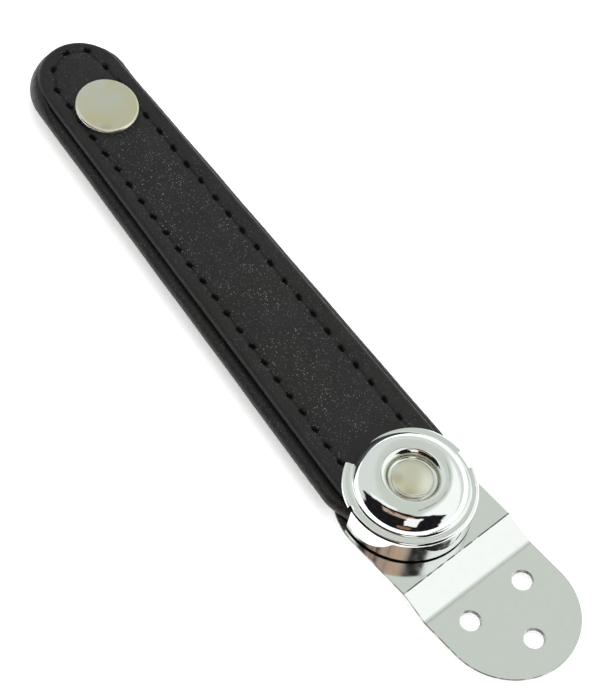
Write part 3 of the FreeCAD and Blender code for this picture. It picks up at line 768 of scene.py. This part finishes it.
class STRAP_OT_lower_leather(bpy.types.Operator):
    """Lower leather: flat below, rolled up round the felt in a half-round edge"""

    bl_idname = "strap.lower_leather"
    bl_label = "Lower leather"

    def execute(self, context):
        shape, colours = context.scene.strap_shape, context.scene.strap_colours
        size = (shape.lower_half_width, shape.lower_tip_radius, shape.lower_tip_x)
        roll = (LOWER_TOP - STRAP_LOW) / 2
        edge = edge_arc(roll, STRAP_LOW + roll, -84, 90, 17)
        edge += [(-2.6, LOWER_TOP), (-3.6, LOWER_TOP), (-5.0, LOWER_TOP)]
        rows = list(np.linspace(-1, 1, 33))
        piece = sheet_with_edge("lower_leather", size, 330, rows, 2.0, edge, STRAP_LOW)
        x, y, ring = strap_point(piece)
        co = vertices(piece)
        on_roll = ease(ring, 2, 6) * (1 - ease(ring, 17, 19))
        near_seat = 1 - ease(np.hypot(x - STUD_X, y), 5.8, 8.5)
        co[:, 2] += (ring == 0) * np.maximum(0, 0.10 + 0.10 * waves(x, y, 12, 4)) * (1 - near_seat) * ease(
            np.hypot(x, y), 16, 22)
        pucker = 0.05 * np.sin(x * 2.9 + 1.2 * np.sin(x * 0.7)) * (0.4 + 0.6 * ease(x, 95, 130))
        pucker += 0.10 * waves(x, y, 7.0, 7.0)
        co[:, 2] += on_roll * pucker * ease(np.hypot(x, y), 16, 20)
        meets = ease(x, 122.0, 130.0) * ease(ring, 8, 17) * (ring < 17.5)
        co[:, 2] += meets * 1.7
        put_vertices(piece, co)
        put_attribute(piece, "grain", 0.45 + 0.4 * (ring == 0))
        # painted shade: marks the top of the roll, in the groove under the upper leather, to be painted near black
        put_attribute(piece, "dark", 0.75 * ease(ring, 16.5, 18.5) * (1 - ease(x, 123.0, 129.0)))
        finish_sheet(piece, shape.skin, True)
        paint(piece, leather("lower_smooth_leather", tuple(colours.lower_leather),
                             colours.leather_roughness - 0.12, 0.5))
        bend_with_strap(piece)
        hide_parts("lower_leather_root", "lower_leather_free")
        return {"FINISHED"}


def inner_layer(name, size, inset, low, high, crown, material, nodes):
    """A closed inner layer of the strap with a softened edge."""
    half = (high - low) / 2
    corner = min(half * 0.6, 0.5)
    edge = [(-inset, high - corner), (-inset, low + corner), (-corner - inset, low)]
    piece = sheet_with_edge(name, size, 150, list(np.linspace(-1, 1, 17)), inset + corner, edge, high)
    x, y, ring = strap_point(piece)
    co = vertices(piece)
    co[:, 2] += (ring == 0) * crown * waves(x, y, 8.0, 3.0)
    put_vertices(piece, co)
    make_active(piece)
    bpy.ops.object.mode_set(mode="EDIT")
    select_open_rim()
    bpy.ops.mesh.fill()
    faces_outward()
    bpy.ops.object.mode_set(mode="OBJECT")
    put_vertices(piece, strap_to_row(vertices(piece)))
    smooth(piece, 45)
    paint(piece, material)
    bend_with_strap(piece)
    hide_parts(*nodes)
    return piece


class STRAP_OT_padding(bpy.types.Operator):
    """Foam, stiffener and felt inside the strap"""

    bl_idname = "strap.padding"
    bl_label = "Padding and stiffener"

    def execute(self, context):
        shape = context.scene.strap_shape
        upper = (shape.upper_half_width, shape.upper_tip_radius, shape.upper_tip_x)
        lower = (shape.lower_half_width, shape.lower_tip_radius, shape.lower_tip_x)
        foam = inner_layer("foam_pad", upper, 2.9, UPPER_LOW + 0.02, FOAM_TOP - 0.45, 0.08,
                           fibrous("closed_cell_foam", (0.08, 0.08, 0.085), 1400),
                           ("upper_padding_root", "upper_padding_free"))
        felt = inner_layer("felt_pad", lower, 3.2, FELT_LOW + 0.05, LOWER_TOP - 0.65, 0.06,
                           fibrous("grey_felt", (0.16, 0.15, 0.14), 900),
                           ("lower_padding_root", "lower_padding_free"))
        inner_layer("stiffener", upper, 1.9, LOWER_TOP + 0.02, UPPER_LOW - 0.02, 0.0,
                    fibrous("black_board", (0.012, 0.012, 0.012), 1100),
                    ("core_stiffener_root", "core_stiffener_free"))
        return {"FINISHED"}


def thread_runs(name, runs, radius, lift, material, nodes, z_level=None):
    """Runs of thread: each is a capped tube that rises from one hole and dives into the next."""
    pieces = []
    for number, ((ax, ay), (bx, by)) in enumerate(runs):
        deselect()
        bpy.ops.mesh.primitive_cylinder_add(vertices=8, radius=1, depth=2, end_fill_type="TRIFAN")
        piece = bpy.context.object
        bpy.ops.object.mode_set(mode="EDIT")
        bpy.ops.mesh.select_mode(type="EDGE")
        bpy.ops.object.mode_set(mode="OBJECT")
        for edge in piece.data.edges:
            a, b = (piece.data.vertices[k].co for k in edge.vertices)
            edge.select = abs(a.z - b.z) > 1.9
        bpy.ops.object.mode_set(mode="EDIT")
        bpy.ops.mesh.subdivide_edgering(number_cuts=9, interpolation="LINEAR", smoothness=0)
        bpy.ops.object.mode_set(mode="OBJECT")
        raw = vertices(piece)
        t = (raw[:, 2] + 1) / 2
        px, py = ax + (bx - ax) * t, ay + (by - ay) * t
        length = math.hypot(bx - ax, by - ay)
        side_x, side_y = -(by - ay) / length, (bx - ax) / length
        bow = lift * np.sin(np.pi * t) - 1.2 * (1 - ease(np.minimum(t, 1 - t) * length, 0.25, 1.0))
        sway = 0.09 * math.sin(number * 2.1) * np.sin(np.pi * t)
        thick = radius * (0.92 + 0.08 * np.cos(t * length * 7))
        level = (STRAP_TOP + surface_lift(px, py)) if z_level is None else np.full(len(t), z_level)
        co = np.c_[px + side_x * (raw[:, 0] * thick + sway), py + side_y * (raw[:, 0] * thick + sway),
                   level + bow + raw[:, 1] * thick * 0.85]
        put_vertices(piece, strap_to_row(co))
        put_attribute(piece, "twist", t * length * 9 + np.arctan2(raw[:, 1], raw[:, 0]) * 2)
        pieces.append(piece)
    deselect()
    for piece in pieces:
        piece.select_set(True)
    bpy.context.view_layer.objects.active = pieces[0]
    bpy.ops.object.join()
    joined = bpy.context.object
    joined.name = name
    joined.data.name = name
    bpy.ops.object.mode_set(mode="EDIT")
    faces_outward()
    bpy.ops.object.mode_set(mode="OBJECT")
    bpy.ops.object.transform_apply(location=True, rotation=True, scale=True)
    smooth(joined, 80)
    paint(joined, material)
    bend_with_strap(joined)
    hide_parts(*nodes)


class STRAP_OT_stitching(bpy.types.Operator):
    """Both stitch rows, the stitches round the tip and the side seam's stitches"""

    bl_idname = "strap.stitching"
    bl_label = "Stitching"

    def execute(self, context):
        colours, stitches = context.scene.strap_colours, context.scene.strap_stitches
        runs = all_runs()
        radius = stitches.thread_radius
        thread = waxed_thread("waxed_black_thread", tuple(colours.thread), 0.55)
        clear_of_cup, clear_of_stud = 14.8, SEAT_R - 1.6

        def seen(row):
            return [(a, b) for a, b in row if min(math.hypot(*a), math.hypot(*b)) > clear_of_cup
                    and math.hypot((a[0] + b[0]) / 2 - STUD_X, (a[1] + b[1]) / 2) > clear_of_stud]

        thread_runs("stitch_row_left", seen(runs["left"]), radius, 0.05, thread, ["stitching_left"])
        thread_runs("stitch_row_right", seen(runs["right"]), radius, 0.05, thread,
                    ["stitching_right", "stitching_root"])
        tip_thread = waxed_thread("waxed_tip_thread", (0.05, 0.052, 0.055), 0.32)
        thread_runs("stitches_round_tip", runs["tip"], radius * 1.1, 0.16, tip_thread, ["stitching_tip"])
        centre = context.scene.strap_shape.upper_tip_x - context.scene.strap_shape.upper_tip_radius
        reach = context.scene.strap_shape.upper_tip_radius - 0.6
        seam = []
        for degrees in (62, 77, 91):
            ends = [math.radians(degrees + spread) for spread in (-4, 4)]
            seam.append([(centre + reach * math.cos(a), reach * math.sin(a)) for a in ends])
        thread_runs("side_seam_stitches", seam, radius, 0.15, thread, ["stitching_side_seam"],
                    z_level=(LOWER_TOP + UPPER_LOW) / 2 + 0.35)
        return {"FINISHED"}


# ---------------------------------------------------------------- metal and small fittings
def row_place(x, y):
    """A point on the strap's axes, in metres from the pivot in the row frame's directions."""
    spot = ALONG * (x * MM) + ACROSS * (y * MM)
    return (spot.x, spot.y, STRAP_TOP * MM + 0.001)


class STRAP_OT_metal(bpy.types.Operator):
    """Plated and plain finishes for the plate, cup, rivet and press stud"""

    bl_idname = "strap.metal"
    bl_label = "Metal finishes"

    def execute(self, context):
        colours = context.scene.strap_colours
        bright = tuple(colours.chrome)
        satin = tuple(colours.nickel)
        plate = chrome("plate_chrome", bright, colours.chrome_roughness * 2.2, BEND_X)
        cup = chrome("cup_chrome", bright, colours.chrome_roughness)
        button = nickel("button_nickel", [c * 1.12 for c in satin], colours.nickel_roughness,
                        (0.002, 0.003, 0.015), (0, 0), BUTTON_R * MM)
        stud = nickel("stud_nickel", satin, colours.nickel_roughness * 0.95, row_place(STUD_X - 5.6, 4.4),
                      row_place(STUD_X, 0), SEAT_R * MM)
        steel = plain_metal("plain_steel", (0.55, 0.56, 0.56), 0.32)
        brass = plain_metal("plain_brass", (0.70, 0.58, 0.34), 0.30)
        spring = plain_metal("spring_wire", (0.40, 0.41, 0.43), 0.25, 2500)
        fibre = fibrous("red_fibre", (0.16, 0.06, 0.035), 1600, 0.75)
        finishes = {
            "mounting_plate": plate, "dome_cup": cup, "rivet_cap": button, "snap_cap": stud,
            "snap_socket": stud, "rivet_post": steel, "back_washer": steel, "cup_washer": steel,
            "rivet_cap_core": steel, "pivot_grommet": brass, "snap_barrel": brass, "snap_spring": spring,
            "pivot_washer": fibre,
        }
        for node, material in finishes.items():
            piece = frame["nodes"][node]
            piece.data.materials.clear()
            piece.data.materials.append(material)
        return {"FINISHED"}


# ---------------------------------------------------------------- studio
def studio_world(strength):
    """A pale light tent whose open front shows a darker room.

    Its parts are bands of tilt (from overhead, 0, down to the front) and of aside (-1 to 1 along the front).
    """
    world = bpy.data.worlds.new("light_tent")
    bpy.context.scene.world = world
    world.use_nodes = True
    f = Finish("light_tent", world.node_tree)
    look = f.node("ShaderNodeTexCoord", out=0)

    def toward(direction):
        return f.node("ShaderNodeVectorMath", {"operation": "DOT_PRODUCT"}, {0: look, 1: direction}, 1)

    def band(value, low, high, soft=0.03):
        return f.step(value, low - soft, low + soft) * f.step(value, high + soft, high - soft)

    ripple = f.noise(look, 3.0, 2) - 0.5
    fine = f.noise(look, 9.0, 2) - 0.5
    front = toward(NEAR)
    aside = toward(ASIDE) + ripple * 0.18 + fine * 0.06
    height = toward((0, 0, 1))
    tilt = f.node("ShaderNodeMath", {"operation": "ARCTAN2"}, {0: front, 1: height}) + ripple * 0.22 + fine * 0.08
    tone = f.mix(f.step(aside, -0.45, -0.15), (0.86, 0.89, 0.87), (0.72, 0.765, 0.715))
    tone = f.mix(f.step(toward(ASIDE), 0.24, 0.44), tone, (1.21, 1.23, 1.22))
    tone = f.mix(f.step(tilt, -0.95, -1.3), tone, (0.84, 0.88, 0.87))
    seam = band(toward(ASIDE), 0.17, 0.20, 0.012) * band(tilt, -0.75, -0.1, 0.05) * f.step(fine, -0.12, 0.05)
    tone = f.mix(seam * 0.8, tone, (0.03, 0.03, 0.035))
    room = f.mix(f.step(fine, -0.05, 0.12), (0.010, 0.011, 0.014), (0.022, 0.018, 0.018))
    shelf = band(tilt, 0.44, 0.66) * band(aside, -0.44, 0.30)
    room = f.mix(shelf * f.step(fine, -0.18, -0.06), room, (0.62, 0.44, 0.36))
    lamp = ((0.48, 0.60), (0.06, 0.20), 0.03, (0.85, 0.55, 0.36))
    window = ((0.50, 1.15), (0.12, 0.46), 0.02, (1.2, 1.2, 1.2))
    cupboard = ((1.25, 1.45), (-0.05, 0.28), 0.03, (0.34, 0.17, 0.11))
    for tilts, asides, soft, colour in (lamp, window, cupboard):
        room = f.mix(band(tilt, *tilts, soft) * band(aside, *asides, soft), room, colour)
    opening = band(tilt, 0.27, 1.62, 0.03) * band(aside, -0.93, 0.90, 0.02)
    glow = band(tilt, 0.10, 0.27, 0.05) * band(aside, -0.75, -0.1, 0.05)
    tone = f.mix(glow, tone, (1.2, 1.22, 1.2))
    f.tree.nodes["Background"].inputs["Strength"].default_value = strength
    f.feed(f.tree.nodes["Background"].inputs["Color"], f.mix(opening, tone, room))


def soft_box(name, place, aim, size, power):
    data = bpy.data.lights.new(name, "AREA")
    data.shape = "RECTANGLE"
    data.size, data.size_y = size
    data.energy = power
    lamp = bpy.data.objects.new(name, data)
    bpy.context.scene.collection.objects.link(lamp)
    lamp.location = place
    lamp.visible_glossy = False
    lamp.rotation_mode = "QUATERNION"
    lamp.rotation_quaternion = (Vector(aim) - Vector(place)).to_track_quat("-Z", "Y")


class STRAP_OT_stage(bpy.types.Operator):
    """Floor, soft lights and camera"""

    bl_idname = "strap.stage"
    bl_label = "Studio"

    def execute(self, context):
        studio = context.scene.strap_studio
        deselect()
        bpy.ops.mesh.primitive_plane_add(size=studio.floor_size, location=(0, 0, 0))
        floor = context.object
        floor.name = "studio_floor"
        f = Finish("white_paper")
        f.set(Base_Color=f.mix(f.noise(f.place(), 30, 2), (0.93, 0.93, 0.93), (0.95, 0.95, 0.95)), Roughness=0.8)
        f.set(Specular_IOR_Level=0.1, Emission_Color=(1, 1, 1), Emission_Strength=0.3)
        floor.data.materials.append(f.material)
        studio_world(studio.tent)
        middle = Vector((0.07, -0.01, 0.0))
        soft_box("tent_top", (0.0, -0.15, 0.9), middle, (0.9, 0.9), 7.0)
        soft_box("tent_side", (0.3, 0.7, 0.5), middle, (0.8, 0.8), 4.0)
        camera = bpy.data.objects.new("camera", bpy.data.cameras.new("camera"))
        context.scene.collection.objects.link(camera)
        right, up, back = (-0.6746, -0.7241, 0.1435), (0.6750, -0.5264, 0.5170), (-0.2988, 0.4456, 0.8439)
        turn = Matrix((right, up, back)).transposed().to_4x4()
        camera.matrix_world = Matrix.Translation((-0.2365, 0.4551, 0.88155)) @ turn
        camera.data.sensor_width = 36
        camera.data.lens = studio.lens
        camera.data.clip_start, camera.data.clip_end = 0.05, 20
        context.scene.camera = camera
        context.scene.view_settings.view_transform = "Standard"
        return {"FINISHED"}


# ---------------------------------------------------------------- add-on
STEPS = ("upper_leather", "lower_leather", "padding", "stitching", "metal", "stage")


class STRAP_PT_panel(bpy.types.Panel):
    """Lists the strap's building steps"""

    bl_idname = "STRAP_PT_panel"
    bl_label = "Closing strap"
    bl_space_type = "VIEW_3D"
    bl_region_type = "UI"
    bl_category = "Closing strap"

    def draw(self, context):
        for step in STEPS:
            self.layout.operator("strap." + step)
        for group in ("strap_shape", "strap_stitches", "strap_colours", "strap_studio"):
            box = self.layout.box()
            settings = getattr(context.scene, group)
            for name in settings.__annotations__:
                box.prop(settings, name)


GROUPS = {"strap_shape": StrapShape, "strap_stitches": StitchShape, "strap_colours": Colours, "strap_studio": Studio}
CLASSES = (StrapShape, StitchShape, Colours, Studio, STRAP_OT_upper_leather, STRAP_OT_lower_leather,
           STRAP_OT_padding, STRAP_OT_stitching, STRAP_OT_metal, STRAP_OT_stage, STRAP_PT_panel)


def register():
    for item in CLASSES:
        bpy.utils.register_class(item)
    for name, group in GROUPS.items():
        setattr(bpy.types.Scene, name, bpy.props.PointerProperty(type=group))


def unregister():
    for name in GROUPS:
        delattr(bpy.types.Scene, name)
    for item in reversed(CLASSES):
        bpy.utils.unregister_class(item)


def main():
    register()
    for step in STEPS:
        getattr(bpy.ops.strap, step)()


if __name__ == "__main__":
    main()
